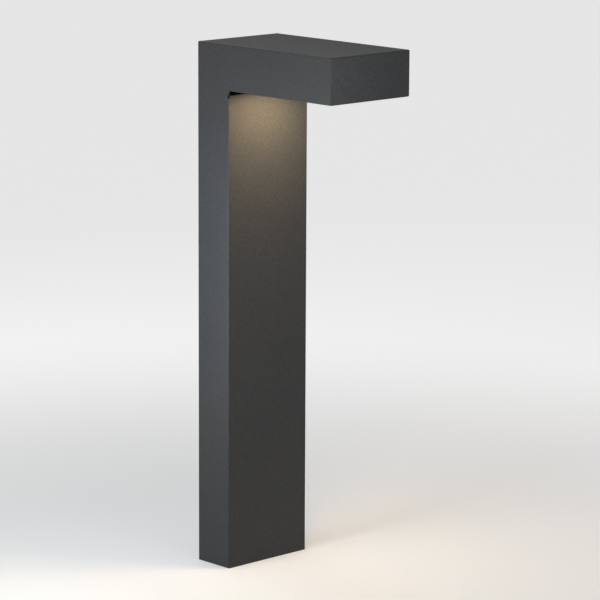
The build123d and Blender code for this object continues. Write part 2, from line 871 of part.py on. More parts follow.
with BuildPart() as gland_locknut:
    with BuildSketch(Plane.XY.offset(shelf_z + tray_sheet)):
        with Locations((0, gland_y)):
            RegularPolygon(gland_flats / 2, 6, major_radius=False)
            Circle(gland_thread, mode=Mode.SUBTRACT)
    extrude(amount=locknut_height)
gland_locknut.part.label = "gland_locknut"
export_step(gland_locknut.part, "parts/gland_locknut.step")

# ---- terminal block with three clamp levers ------------------------------------------------
# Each pole has a slot with a lever hung on a cross pin at its upper end. A closed lever lies
# flush in the front of the block; it opens by swinging up and out a quarter turn.
pole_pitch = 15.0
pole_x = [-pole_pitch, 0.0, pole_pitch]
slot_width = 8.0
slot_depth = 6.5
slot_head = 4.0
slot_foot = 3.0
terminal_round = 1.0
lever_round = 0.8
lever_play = 0.2
lever_thickness = 3.0
lever_length = 14.0
hub_radius = 2.5
pin_radius = 1.2
pin_clearance = 0.05
pin_bite = 1.5
pivot_drop = 5.0
wire_hole = 1.6
wire_gap = 9.0
terminal_top = terminal_low + terminal_height
terminal_front = tray_front - terminal_depth
pivot_y = terminal_front + lever_thickness
pivot_z = terminal_top - pivot_drop
wire_y = tray_front - wire_gap
bar_width = 5.0
bar_thickness = 1.5
bar_height = 18.0
bar_gap = 0.1
bar_y = wire_y + core_radius + bar_gap + bar_thickness / 2

with BuildPart() as terminal_bars:
    with Locations(*[(x, bar_y, (terminal_low + terminal_top) / 2) for x in pole_x]):
        Box(bar_width, bar_thickness, bar_height)
terminal_bars.part.label = "terminal_bars"
export_step(terminal_bars.part, "parts/terminal_bars.step")

with BuildPart() as terminal_block:
    with BuildSketch(Plane.XY.offset(terminal_low)):
        with Locations((0, tray_front)):
            Rectangle(terminal_width, terminal_depth, align=(Align.CENTER, Align.MAX))
    extrude(amount=terminal_height)
    fillet(terminal_block.edges().filter_by(Axis.Z).group_by(Axis.Y)[0], terminal_round)
    with BuildSketch(Plane.XY.offset(terminal_low)):
        with Locations((0, tray_front)):
            Rectangle(
                terminal_width + 2 * terminal_ear,
                terminal_ear_thickness,
                align=(Align.CENTER, Align.MAX),
            )
    extrude(amount=2 * terminal_screw_rise)
    with BuildSketch(Plane.XZ.offset(-tray_front)):
        with Locations(
            (-terminal_screw_x, terminal_screw_z), (terminal_screw_x, terminal_screw_z)
        ):
            Circle(M3_RADIUS + hole_play)
    extrude(amount=terminal_depth, mode=Mode.SUBTRACT)
    with BuildSketch(Plane.XZ.offset(-terminal_front)):
        for x in pole_x:
            with Locations((x, pivot_z + slot_head)):
                Rectangle(
                    slot_width,
                    slot_head + lever_length + slot_foot,
                    align=(Align.CENTER, Align.MAX),
                )
    extrude(amount=-slot_depth, mode=Mode.SUBTRACT)
    for x in pole_x:
        with BuildSketch(Plane.YZ.offset(x - slot_width / 2 - pin_bite)):
            with Locations((pivot_y, pivot_z)):
                Circle(pin_radius + pin_clearance)
        extrude(amount=slot_width + 2 * pin_bite, mode=Mode.SUBTRACT)
    with BuildSketch(Plane.XY.offset(terminal_low)):
        with Locations(*[(x, wire_y) for x in pole_x]):
            Circle(wire_hole)
    extrude(amount=terminal_height, mode=Mode.SUBTRACT)
    add(terminal_bars.part, mode=Mode.SUBTRACT)
terminal_block.part.label = "terminal_block"
export_step(terminal_block.part, "parts/terminal_block.step")

for x, pole in zip(pole_x, ("line", "neutral", "earth")):
    with BuildPart() as lever:
        lever_width = slot_width - 2 * lever_play
        with BuildSketch(Plane.YZ.offset(x - lever_width / 2)):
            with Locations((pivot_y, pivot_z)):
                Circle(hub_radius)
                Rectangle(lever_thickness, lever_length, align=(Align.MAX, Align.MAX))
        extrude(amount=lever_width)
        fillet(lever.edges().filter_by(Axis.X).group_by(Axis.Z)[0], lever_round)
        pin_length = slot_width + 2 * pin_bite - 2 * lever_play
        with BuildSketch(Plane.YZ.offset(x - pin_length / 2)):
            with Locations((pivot_y, pivot_z)):
                Circle(pin_radius)
        extrude(amount=pin_length)
    lever.part.label = f"{pole}_lever"
    export_step(lever.part, f"parts/{pole}_lever.step")

m3_terminal = pan_screw(M3_RADIUS, M3_PAN, terminal_ear_thickness + tray_sheet + screw_tip)
with BuildPart() as terminal_screws:
    with Locations(
        *[
            Plane((x, tray_front - terminal_ear_thickness, terminal_screw_z), z_dir=(0, -1, 0))
            for x in (-terminal_screw_x, terminal_screw_x)
        ]
    ):
        add(m3_terminal)
terminal_screws.part.label = "terminal_screws"
export_step(terminal_screws.part, "parts/terminal_screws.step")

# ---- driver --------------------------------------------------------------------------------
driver_wall = 2.0
driver_cover_thickness = 2.0
driver_round = 2.0
cover_spigot = 1.5
driver_front = tray_front - driver_depth
driver_mid_z = driver_low + driver_length / 2
driver_ear_width = 20.0
driver_ear_thickness = 3.0
mains_x = (-24.0, -14.0)
lamp_x = 22.0
driver_wire_stand = 13.0
driver_wire_y = tray_front - driver_wire_stand
board_gap = 4.0
boss_radius = 3.0
boss_inset = 4.0
pcb_play = 1.0
pcb_thickness = 1.6
pcb_back = tray_front - driver_wall - board_gap
pcb_front = pcb_back - pcb_thickness
pcb_width = driver_width - 2 * driver_wall - pcb_play
pcb_length = driver_length - 2 * driver_wall - pcb_play
boss_x = pcb_width / 2 - boss_inset
boss_z = pcb_length / 2 - boss_inset

with BuildPart() as driver_case:
    with Locations((0, tray_front, driver_mid_z)):
        Box(
            driver_width,
            driver_depth - driver_cover_thickness,
            driver_length,
            align=(Align.CENTER, Align.MAX, Align.CENTER),
        )
    fillet(driver_case.edges().filter_by(Axis.Y), driver_round)
    with Locations((0, tray_front - driver_wall, driver_mid_z)):
        Box(
            driver_width - 2 * driver_wall,
            driver_depth,
            driver_length - 2 * driver_wall,
            align=(Align.CENTER, Align.MAX, Align.CENTER),
            mode=Mode.SUBTRACT,
        )
    with Locations((0, tray_front, driver_mid_z)):
        for side in (-1, 1):
            with Locations((0, 0, side * (driver_length + driver_ear) / 2)):
                Box(
                    driver_ear_width,
                    driver_ear_thickness,
                    driver_ear,
                    align=(Align.CENTER, Align.MAX, Align.CENTER),
                )
    with BuildSketch(Plane.XZ.offset(-tray_front)):
        with Locations((0, driver_screw_low), (0, driver_screw_high)):
            Circle(M4_RADIUS + hole_play)
    extrude(amount=driver_ear_thickness, mode=Mode.SUBTRACT)
    with BuildSketch(Plane.XZ.offset(-tray_front + driver_wall)):
        with Locations((0, driver_mid_z)):
            with GridLocations(2 * boss_x, 2 * boss_z, 2, 2):
                Circle(boss_radius)
    extrude(amount=board_gap)
    with BuildSketch(Plane.XY.offset(driver_low)):
        with Locations(*[(x, driver_wire_y) for x in mains_x]):
            Circle(core_radius)
    extrude(amount=driver_wall, mode=Mode.SUBTRACT)
    with BuildSketch(Plane.XY.offset(driver_low + driver_length)):
        with Locations((lamp_x, driver_wire_y)):
            Circle(lead_radius)
    extrude(amount=-driver_wall, mode=Mode.SUBTRACT)
driver_case.part.label = "driver_case"
export_step(driver_case.part, "parts/driver_case.step")

with BuildPart() as driver_cover:
    with Locations((0, driver_front, driver_mid_z)):
        Box(
            driver_width,
            driver_cover_thickness,
            driver_length,
            align=(Align.CENTER, Align.MIN, Align.CENTER),
        )
    fillet(driver_cover.edges().filter_by(Axis.Y), driver_round)
    with Locations((0, driver_front + driver_cover_thickness, driver_mid_z)):
        Box(
            driver_width - 2 * driver_wall - 2 * hole_play,
            cover_spigot,
            driver_length - 2 * driver_wall - 2 * hole_play,
            align=(Align.CENTER, Align.MIN, Align.CENTER),
        )
driver_cover.part.label = "driver_cover"
export_step(driver_cover.part, "parts/driver_cover.step")

with BuildPart() as driver_board:
    with Locations((0, pcb_back, driver_mid_z)):
        Box(
            pcb_width,
            pcb_thickness,
            pcb_length,
            align=(Align.CENTER, Align.MAX, Align.CENTER),
        )
driver_board.part.label = "driver_board"
export_step(driver_board.part, "parts/driver_board.step")

transformer_x = 4.0
transformer_core = (30.0, 14.0, 26.0)
transformer_coil = (18.0, 14.0, 32.0)
with BuildPart() as driver_transformer:
    with Locations((transformer_x, pcb_front, driver_mid_z)):
        Box(*transformer_core, align=(Align.CENTER, Align.MAX, Align.CENTER))
        Box(*transformer_coil, align=(Align.CENTER, Align.MAX, Align.CENTER))
driver_transformer.part.label = "driver_transformer"
export_step(driver_transformer.part, "parts/driver_transformer.step")

capacitor_height = 14.0
capacitors = [(-20.0, -38.0, 6.0), (16.0, 42.0, 6.0), (-16.0, 40.0, 5.0)]
with BuildPart() as driver_capacitors:
    with BuildSketch(Plane.XZ.offset(-pcb_front)):
        for x, rise, radius in capacitors:
            with Locations((x, driver_mid_z + rise)):
                Circle(radius)
    extrude(amount=capacitor_height)
driver_capacitors.part.label = "driver_capacitors"
export_step(driver_capacitors.part, "parts/driver_capacitors.step")

m4_driver = pan_screw(M4_RADIUS, M4_PAN, driver_ear_thickness + tray_sheet + screw_tip)
with BuildPart() as driver_screws:
    with Locations(
        *[
            Plane((0, tray_front - driver_ear_thickness, z), z_dir=(0, -1, 0))
            for z in (driver_screw_low, driver_screw_high)
        ]
    ):
        add(m4_driver)
driver_screws.part.label = "driver_screws"
export_step(driver_screws.part, "parts/driver_screws.step")

# ---- earth point ---------------------------------------------------------------------------
ring_thickness = 1.0
ring_radius = 5.0
neck_length = 5.0
neck_width = 3.8
barrel_radius = 2.2
barrel_length = 9.0
barrel_floor = 2.0
barrel_gap = 0.5
barrel_y = tray_front - barrel_radius
barrel_end_x = earth_x - ring_radius - barrel_length - barrel_gap
with BuildPart() as ring_terminal:
    with BuildSketch(Plane.XZ.offset(-tray_front)):
        with Locations((earth_x, earth_z)):
            Circle(ring_radius)
        with Locations((earth_x - ring_radius, earth_z)):
            Rectangle(neck_length, neck_width)
    extrude(amount=ring_thickness)
    with BuildSketch(Plane.YZ.offset(barrel_end_x)):
        with Locations((barrel_y, earth_z)):
            Circle(barrel_radius)
    extrude(amount=barrel_length)
    with BuildSketch(Plane.YZ.offset(barrel_end_x)):
        with Locations((barrel_y, earth_z)):
            Circle(core_radius)
    extrude(amount=barrel_length - barrel_floor, mode=Mode.SUBTRACT)
    with BuildSketch(Plane.XZ.offset(-tray_front)):
        with Locations((earth_x, earth_z)):
            Circle(M5_RADIUS)
    extrude(amount=2 * barrel_radius, mode=Mode.SUBTRACT)
ring_terminal.part.label = "ring_terminal"
export_step(ring_terminal.part, "parts/ring_terminal.step")

with BuildPart() as earth_nut:
    with Locations(Plane((earth_x, tray_front - ring_thickness, earth_z), z_dir=(0, -1, 0))):
        add(hex_nut(M5_RADIUS, M5_NUT))
earth_nut.part.label = "earth_nut"
export_step(earth_nut.part, "parts/earth_nut.step")

stud_head = (4.0, 2.0)
stud_end = 3.0
with BuildPart() as earth_stud:
    with BuildSketch(Plane.XZ.offset(-tray_back)):
        with Locations((earth_x, earth_z)):
            Circle(stud_head[0])
    extrude(amount=-stud_head[1])
    with BuildSketch(Plane.XZ.offset(-tray_back)):
        with Locations((earth_x, earth_z)):
            Circle(M5_RADIUS)
    extrude(amount=tray_sheet + ring_thickness + M5_NUT[1] + stud_end)
earth_stud.part.label = "earth_stud"
export_step(earth_stud.part, "parts/earth_stud.step")

# ---- leads ---------------------------------------------------------------------------------
# Straight runs joined by tangent arcs, each lead held at both ends.
wire_bite = 7.0
lead_seat = 4.0
barrel_lead_in = 2.5
head_lead_z = socket_z
lead_end_y = optic_y + socket_size[1] / 2 - lead_seat

leads = {
    "live_lead": (
        core_radius,
        [
            (pole_x[0], wire_y, terminal_top - wire_bite),
            (pole_x[0], wire_y, terminal_top + 10.0),
            (mains_x[0], driver_wire_y, driver_low - 14.0),
            (mains_x[0], driver_wire_y, driver_low + driver_wall),
        ],
        [10.0, 10.0],
    ),
    "neutral_lead": (
        core_radius,
        [
            (pole_x[1], wire_y, terminal_top - wire_bite),
            (pole_x[1], wire_y, terminal_top + 8.0),
            (mains_x[1], driver_wire_y, driver_low - 12.0),
            (mains_x[1], driver_wire_y, driver_low + driver_wall),
        ],
        [10.0, 10.0],
    ),
    "earth_lead": (
        core_radius,
        [
            (pole_x[2], wire_y, terminal_top - wire_bite),
            (pole_x[2], wire_y, earth_z - 8.0),
            (barrel_end_x - barrel_lead_in, barrel_y, earth_z),
            (barrel_end_x + barrel_length - barrel_floor, barrel_y, earth_z),
        ],
        [4.0, 2.5],
    ),
    "driver_lead": (
        lead_radius,
        [
            (lamp_x, driver_wire_y, driver_low + driver_length - driver_wall),
            (lamp_x, driver_wire_y, driver_low + driver_length + 12.0),
            (lamp_x, plug_y, plug_low - 8.0),
            (lamp_x, plug_y, plug_low + lead_seat),
        ],
        [12.0, 12.0],
    ),
    "lamp_lead": (
        lead_radius,
        [
            (lamp_x, plug_y, plug_top - lead_seat),
            (lamp_x, plug_y, underside - 40.0),
            (lamp_x + 6.0, plug_y - 12.0, head_lead_z),
            (socket_x, front_y - 8.0, head_lead_z),
            (socket_x, lead_end_y, head_lead_z),
        ],
        [40.0, 24.0, 40.0],
    ),
}

for name, (radius, points, bends) in leads.items():
    with BuildPart() as lead:
        with BuildLine() as route:
            FilletPolyline(*points, radius=bends)
        with BuildSketch(Plane(route.wire() @ 0, z_dir=route.wire() % 0)):
            Circle(radius)
        sweep(path=route.wire())
    lead.part.label = name
    export_step(lead.part, f"parts/{name}.step")
    tube = math.pi * radius**2 * route.wire().length
    print(name, "bends", bends, "volume over section times length", lead.part.volume / tube)

# A keyed plug and socket let the shell be lifted off its base.
plug_round = 2.0
key_x = 7.0
key_y = 5.0
key_length = 8.0
key_play = 0.2
key_room = 1.0
with BuildPart() as lamp_socket:
    with Locations((lamp_x, plug_y, plug_low + plug_length / 2)):
        Box(plug_width, plug_width, plug_length)
    fillet(lamp_socket.edges().filter_by(Axis.Z), plug_round)
    with BuildSketch(Plane.XY.offset(plug_low)):
        with Locations((lamp_x, plug_y)):
            Circle(lead_radius)
    extrude(amount=lead_seat, mode=Mode.SUBTRACT)
    with BuildSketch(Plane.XY.offset(plug_joint)):
        with Locations((lamp_x, plug_y)):
            Rectangle(key_x, key_y)
    extrude(amount=-(key_length + key_room), mode=Mode.SUBTRACT)
lamp_socket.part.label = "lamp_socket"
export_step(lamp_socket.part, "parts/lamp_socket.step")

with BuildPart() as lamp_plug:
    with BuildSketch(Plane.XY.offset(plug_joint)):
        with Locations((lamp_x, plug_y)):
            RectangleRounded(plug_width, plug_width, plug_round)
    extrude(amount=plug_length)
    with BuildSketch(Plane.XY.offset(plug_joint)):
        with Locations((lamp_x, plug_y)):
            Rectangle(key_x - 2 * key_play, key_y - 2 * key_play)
    extrude(amount=-key_length)
    with BuildSketch(Plane.XY.offset(plug_top)):
        with Locations((lamp_x, plug_y)):
            Circle(lead_radius)
    extrude(amount=-lead_seat, mode=Mode.SUBTRACT)
lamp_plug.part.label = "lamp_plug"
export_step(lamp_plug.part, "parts/lamp_plug.step")

# Saddle clips screw the plug's tails down to the tray.
with BuildPart() as lead_clips:
    for z in clip_z:
        with BuildSketch(Plane.XY.offset(z - clip_height / 2)):
            with Locations((lamp_x, tray_front)):
                Rectangle(clip_width, tray_front - plug_y, align=(Align.CENTER, Align.MAX))
            with Locations((lamp_x, plug_y)):
                Circle(clip_width / 2)
                Circle(lead_radius, mode=Mode.SUBTRACT)
        extrude(amount=clip_height)
lead_clips.part.label = "lead_clips"
export_step(lead_clips.part, "parts/lead_clips.step")
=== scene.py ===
import math

import bpy
from mathutils import Matrix, Vector


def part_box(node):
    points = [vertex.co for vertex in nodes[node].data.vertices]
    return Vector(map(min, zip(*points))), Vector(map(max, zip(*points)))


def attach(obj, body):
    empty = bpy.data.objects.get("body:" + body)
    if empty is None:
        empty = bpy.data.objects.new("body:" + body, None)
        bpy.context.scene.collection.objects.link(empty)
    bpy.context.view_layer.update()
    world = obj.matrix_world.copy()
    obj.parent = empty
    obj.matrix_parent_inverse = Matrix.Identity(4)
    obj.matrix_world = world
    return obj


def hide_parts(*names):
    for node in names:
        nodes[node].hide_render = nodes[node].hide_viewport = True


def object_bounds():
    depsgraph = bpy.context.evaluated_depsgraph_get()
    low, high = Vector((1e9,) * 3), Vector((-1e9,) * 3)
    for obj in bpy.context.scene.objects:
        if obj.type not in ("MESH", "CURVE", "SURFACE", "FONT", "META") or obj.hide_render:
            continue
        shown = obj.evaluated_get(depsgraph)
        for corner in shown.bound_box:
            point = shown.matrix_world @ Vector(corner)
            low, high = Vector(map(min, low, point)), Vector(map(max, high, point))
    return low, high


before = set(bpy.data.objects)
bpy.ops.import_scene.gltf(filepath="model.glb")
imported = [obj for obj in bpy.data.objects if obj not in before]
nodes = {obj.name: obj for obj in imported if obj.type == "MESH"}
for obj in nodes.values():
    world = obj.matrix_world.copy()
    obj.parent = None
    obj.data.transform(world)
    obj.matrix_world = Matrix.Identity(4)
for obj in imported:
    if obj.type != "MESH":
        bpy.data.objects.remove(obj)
cad_low, cad_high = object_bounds()


# ---------------------------------------------------------------------------------------------
# Studio: the light stands on a table of milky acrylic that glows a little from below, under a
# dim even surround. The glow is dimmed round the foot, which paints a soft shade there.
# Soft boxes stand at its left, behind it, over its head and before its nose.
# The camera stands well back at its near left corner, a little above the head, with a long lens.
scene = bpy.context.scene
scene.view_settings.view_transform = "Standard"


class Wire:
    """A socket in a shader tree. Arithmetic on it adds Math nodes, and node() adds any other."""

    def __init__(self, tree, socket=None):
        self.tree = tree
        self.socket = socket

    def node(self, kind, settings=None, sockets=None, out=0):
        made = self.tree.nodes.new(kind)
        for name, value in (settings or {}).items():
            setattr(made, name, value)
        for name, value in (sockets or {}).items():
            if isinstance(value, Wire):
                self.tree.links.new(value.socket, made.inputs[name])
            else:
                made.inputs[name].default_value = value
        return Wire(self.tree, made.outputs[out] if made.outputs else None)

    def math(self, operation, first, second=0.0):
        return self.node("ShaderNodeMath", {"operation": operation}, {0: first, 1: second})

    def __add__(self, other):
        return self.math("ADD", self, other)

    def __mul__(self, other):
        return self.math("MULTIPLY", self, other)

    def __sub__(self, other):
        return self.math("SUBTRACT", self, other)

    def __rsub__(self, other):
        return self.math("SUBTRACT", other, self)

    def __gt__(self, other):
        return self.math("GREATER_THAN", self, other)

    __radd__ = __add__
    __rmul__ = __mul__

    def blend(self, low, high):
        """The colour low where this wire is 0, and high where it is 1."""
        return self.node("ShaderNodeMix", {"data_type": "RGBA"}, {0: self, 6: low, 7: high}, out=2)


def new_material(name):
    material = bpy.data.materials.new(name)
    material.use_nodes = True
    material.node_tree.nodes.clear()
    return material, Wire(material.node_tree)


def cover(tree, shader):
    tree.node("ShaderNodeOutputMaterial", None, {"Surface": shader})


table_half = 20.0
table_gap = 0.0003
table_mesh = bpy.data.meshes.new("studio_table")
table_mesh.from_pydata(
    [(x * table_half, y * table_half, -table_gap) for x, y in ((-1, -1), (1, -1), (1, 1), (-1, 1))],
    [],
    [(0, 1, 2, 3)],
)
table = bpy.data.objects.new("studio_table", table_mesh)
scene.collection.objects.link(table)
acrylic, tree = new_material("milky_acrylic")
table_face = tree.node("ShaderNodeBsdfDiffuse", None, {"Color": (0.86, 0.86, 0.86, 1)})
place = tree.node("ShaderNodeTexCoord", out=3)
from_foot = tree.node("ShaderNodeVectorMath", {"operation": "LENGTH"}, {0: place}, out=1)
# Painted shade: within glow_full of the foot the glow fades down to its dim near tone, so the table is
# painted darker round the foot, like a soft contact shadow.
glow_starts = 0.2
glow_full = 1.5
painted_shade_fade = tree.node(
    "ShaderNodeMapRange",
    {"interpolation_type": "SMOOTHSTEP"},
    {"Value": from_foot, "From Min": glow_starts, "From Max": glow_full},
)
painted_shade_glow_near = (0.2, 0.2, 0.2, 1)
glow_far = (0.53, 0.53, 0.53, 1)
table_glow = tree.node(
    "ShaderNodeEmission", None, {"Color": painted_shade_fade.blend(painted_shade_glow_near, glow_far), "Strength": 1.0}
)
cover(tree, tree.node("ShaderNodeAddShader", None, {0: table_face, 1: table_glow}))
table_mesh.materials.append(acrylic)

surround_level = 0.3
surround = bpy.data.worlds.new("pale_surround")
surround.use_nodes = True
surround_sky = surround.node_tree.nodes["Background"].inputs
surround_sky["Color"].default_value = (1.0, 1.0, 1.0, 1)
surround_sky["Strength"].default_value = surround_level
scene.world = surround


def soft_box(name, place, aim, width, height, watts, colour=(1.0, 1.0, 1.0), spread=180.0):
    """A rectangular soft light that looks from place towards aim. Spread is its whole beam angle."""
    lamp = bpy.data.lights.new(name, "AREA")
    lamp.shape = "RECTANGLE"
    lamp.size = width
    lamp.size_y = height
    lamp.energy = watts
    lamp.color = colour
    lamp.spread = math.radians(spread)
    holder = bpy.data.objects.new(name, lamp)
    holder.rotation_mode = "QUATERNION"
    holder.rotation_quaternion = (Vector(aim) - Vector(place)).to_track_quat("-Z", "Y")
    holder.location = place
    holder.visible_camera = False
    scene.collection.objects.link(holder)


cool = (0.88, 0.95, 1.0)
soft_box("left_box", (-0.60, 0.0, 0.45), (-0.07, 0, 0.45), 0.3, 0.4, 2.4, cool)
soft_box("left_strip", (-0.20, -0.05, 0.39), (-0.07, -0.05, 0.39), 0.04, 0.36, 0.28, cool)
soft_box("nose_box", (-0.08, -0.36, 0.67), (-0.07, -0.22, 0.67), 0.06, 0.06, 0.125)
soft_box("top_box", (0.0, -0.12, 1.05), (0, -0.12, 0.7), 0.25, 0.25, 0.66)
soft_box("back_box", (0.4, 1.4, 1.6), (0, 0, 0.6), 1.0, 1.0, 4.1)

camera_azimuth = math.radians(-43.26)
camera_elevation = math.radians(11.30)
camera_roll = math.radians(0.273)
camera_distance = 4.1555
camera_across = 0.0631
camera_up = 0.0011
lens_mm = 187.16
sensor_mm = 36.0
away = Vector(
    (
        math.sin(camera_azimuth) * math.cos(camera_elevation),
        -math.cos(camera_azimuth) * math.cos(camera_elevation),
        math.sin(camera_elevation),
    )
)
level = (-away).cross(Vector((0, 0, 1))).normalized()
upright = level.cross(-away)
right = level * math.cos(camera_roll) + upright * math.sin(camera_roll)
above = upright * math.cos(camera_roll) - level * math.sin(camera_roll)
camera_data = bpy.data.cameras.new("camera")
camera_data.lens = lens_mm
camera_data.sensor_width = sensor_mm
camera = bpy.data.objects.new("camera", camera_data)
camera.matrix_world = Matrix.Translation(
    Vector((0, 0, cad_high.z / 2))
    + away * camera_distance
    + right * camera_across
    + above * camera_up
) @ Matrix((right, above, away)).transposed().to_4x4()
scene.collection.objects.link(camera)
scene.camera = camera


# ---------------------------------------------------------------------------------------------
# Shell: two cheeks, the folded wrap, the column's front and the soffit, all sheet metal under
# one coat of fine-textured charcoal powder. The coat has a tight grain, soft specks where the
# powder flowed unevenly, and a dull sheen.
def powder_coat(name, colour, roughness, speck_size, grain_size, bump_height):
    material, tree = new_material(name)
    place = tree.node("ShaderNodeTexCoord", out=3)
    noise = "ShaderNodeTexNoise"
    grain = tree.node(
        noise, None, {"Vector": place, "Scale": 1 / grain_size, "Detail": 2.0, "Roughness": 0.6}
    )
    speck = tree.node(
        noise, None, {"Vector": place, "Scale": 1 / speck_size, "Detail": 3.0, "Roughness": 0.65}
    )
    cloud = tree.node(noise, None, {"Vector": place, "Scale": 9.0, "Detail": 2.0})
    mean_tone = 0.64
    speck_depth = 1.45
    cloud_depth = 0.12
    amount = (speck - 0.5) * speck_depth + (cloud - 0.5) * cloud_depth + mean_tone
    bump = tree.node(
        "ShaderNodeBump",
        None,
        {"Height": grain * 0.5 + speck * 0.5, "Strength": 0.7, "Distance": bump_height},
    )
    cover(
        tree,
        tree.node(
            "ShaderNodeBsdfPrincipled",
            None,
            {
                "Base Color": amount.blend((0, 0, 0, 1), (*colour, 1)),
                "Roughness": roughness - 0.06 + speck * 0.12,
                "Specular IOR Level": 0.38,
                "Normal": bump,
            },
        ),
    )
    return material


def paint(material, *names):
    for name in names:
        nodes[name].data.materials[0] = material


paint(
    powder_coat("charcoal_coat", (0.0435, 0.0458, 0.0488), 0.5, 0.0016, 0.0006, 0.0004),
    "left_side_plate",
    "right_side_plate",
    "outer_wrap",
    "column_front",
    "soffit_plate",
)
# The angles welded inside get the same powder, thinner and drier where the spray hardly reached.
paint(
    powder_coat("thin_coat", (0.051, 0.0525, 0.054), 0.62, 0.0016, 0.0005, 0.0003),
    "knee_angle",
    "soffit_brackets",
)


# ---------------------------------------------------------------------------------------------
# Shell and soffit screws: M4 countersunk steel with hexagon sockets, blackened to go with the
# coat. Four hold the shell to its bracket through the back, four hold the soffit under the head.
def turned(name, rings, ends, material_mask=None):
    """A piece built of rings about Z. A ring is (half width, height, corners); no corners is round."""
    steps = 24
    verts = []
    for size, height, corners in rings:
        for step in range(steps):
            angle = 2 * math.pi * step / steps
            reach = size
            if corners:
                facet = 2 * math.pi / corners
                first = facet / 2 if corners == 4 else 0.0
                reach = size / math.cos((angle - first) % facet - facet / 2)
            verts.append((reach * math.cos(angle), reach * math.sin(angle), height))
    faces = []
    last = len(rings) if ends is None else len(rings) - 1
    for ring in range(last):
        start = ring * steps
        after = (ring + 1) % len(rings) * steps
        for step in range(steps):
            near = (step + 1) % steps
            faces.append((start + step, start + near, after + near, after + step))
    if ends is not None:
        for height, start, flip in ((ends[0], 0, True), (ends[1], (len(rings) - 1) * steps, False)):
            centre = len(verts)
            verts.append((0.0, 0.0, height))
            for step in range(steps):
                face = (start + step, start + (step + 1) % steps, centre)
                faces.append(face[::-1] if flip else face)
    mesh = bpy.data.meshes.new(name)
    mesh.from_pydata(verts, [], faces)
    if material_mask:
        mask = mesh.attributes.new(material_mask, "FLOAT", "FACE")
        for index in range(len(faces) - steps, len(faces)):
            mask.data[index].value = 1.0
    part = bpy.data.objects.new(name, mesh)
    scene.collection.objects.link(part)
    return part


def pattern_tree():
    """Geometry Nodes that set a part out on points, each turned a little about its own axis."""
    tree = bpy.data.node_groups.new("set_out_on_points", "GeometryNodeTree")
    for name, kind in (
        ("Points", "NodeSocketGeometry"),
        ("Part", "NodeSocketObject"),
        ("Facing", "NodeSocketVector"),
        ("Most Turn", "NodeSocketFloat"),
        ("Seed", "NodeSocketInt"),
        ("Finish", "NodeSocketMaterial"),
    ):
        tree.interface.new_socket(name, in_out="INPUT", socket_type=kind)
    tree.interface.new_socket("Pieces", in_out="OUTPUT", socket_type="NodeSocketGeometry")

    def add(kind, sockets, **settings):
        made = tree.nodes.new(kind)
        for name, value in settings.items():
            setattr(made, name, value)
        for name, source in sockets.items():
            tree.links.new(source, made.inputs[name])
        return made

    given = add("NodeGroupInput", {}).outputs
    part = add("GeometryNodeObjectInfo", {"Object": given["Part"]})
    facing = add("FunctionNodeEulerToRotation", {"Euler": given["Facing"]})
    set_out = add(
        "GeometryNodeInstanceOnPoints",
        {
            "Points": given["Points"],
            "Instance": part.outputs["Geometry"],
            "Rotation": facing.outputs["Rotation"],
        },
    )
    chance = add("FunctionNodeRandomValue", {"Seed": given["Seed"]}, data_type="FLOAT")
    tree.links.new(given["Most Turn"], chance.inputs[3])
    about_own_axis = add("ShaderNodeCombineXYZ", {"Z": chance.outputs[1]})
    twist = add("FunctionNodeEulerToRotation", {"Euler": about_own_axis.outputs["Vector"]})
    turned_parts = add(
        "GeometryNodeRotateInstances",
        {"Instances": set_out.outputs["Instances"], "Rotation": twist.outputs["Rotation"]},
    )
    turned_parts.inputs["Local Space"].default_value = True
    real = add("GeometryNodeRealizeInstances", {"Geometry": turned_parts.outputs["Instances"]})
    dressed = add(
        "GeometryNodeSetMaterial",
        {"Geometry": real.outputs["Geometry"], "Material": given["Finish"]},
    )
    add("NodeGroupOutput", {"Pieces": dressed.outputs["Geometry"]})
    return tree


set_out_tree = pattern_tree()


def set_out(name, part, spots, facing, most_turn, seed, finish):
    """One mesh of the part repeated on the spots."""
    mesh = bpy.data.meshes.new(name)
    mesh.from_pydata(spots, [], [])
    piece = bpy.data.objects.new(name, mesh)
    scene.collection.objects.link(piece)
    modifier = piece.modifiers.new("set_out", "NODES")
    modifier.node_group = set_out_tree
    values = {
        "Part": part,
        "Facing": facing,
        "Most Turn": most_turn,
        "Seed": seed,
        "Finish": finish,
    }
    for item in set_out_tree.interface.items_tree:
        if item.name in values:
            modifier[item.identifier] = values[item.name]
    view = bpy.context.evaluated_depsgraph_get()
    whole = bpy.data.meshes.new_from_object(piece.evaluated_get(view))
    piece.modifiers.clear()
    piece.data = whole
    return piece


def dull_steel(name, colour, roughness, metallic, scale):
    """Blackened or plated steel: a fine grain and a slow drift of its tone."""
    material, tree = new_material(name)
    place = tree.node("ShaderNodeTexCoord", out=3)
    grain = tree.node("ShaderNodeTexNoise", None, {"Vector": place, "Scale": scale, "Detail": 3.0})
    drift = tree.node("ShaderNodeTexNoise", None, {"Vector": place, "Scale": 60.0})
    spangle = tree.node(
        "ShaderNodeTexVoronoi", {"feature": "F1"}, {"Vector": place, "Scale": scale / 4}, out=0
    )
    bump = tree.node(
        "ShaderNodeBump", None, {"Height": grain, "Strength": 0.25, "Distance": 0.0001}
    )
    tone = 0.66 + drift * 0.4 + spangle * 0.15
    cover(
        tree,
        tree.node(
            "ShaderNodeBsdfPrincipled",
            None,
            {
                "Base Color": tone.blend((0, 0, 0, 1), (*colour, 1)),
                "Metallic": metallic,
                "Roughness": roughness - 0.08 + grain * 0.16,
                "Normal": bump,
            },
        ),
    )
    return material


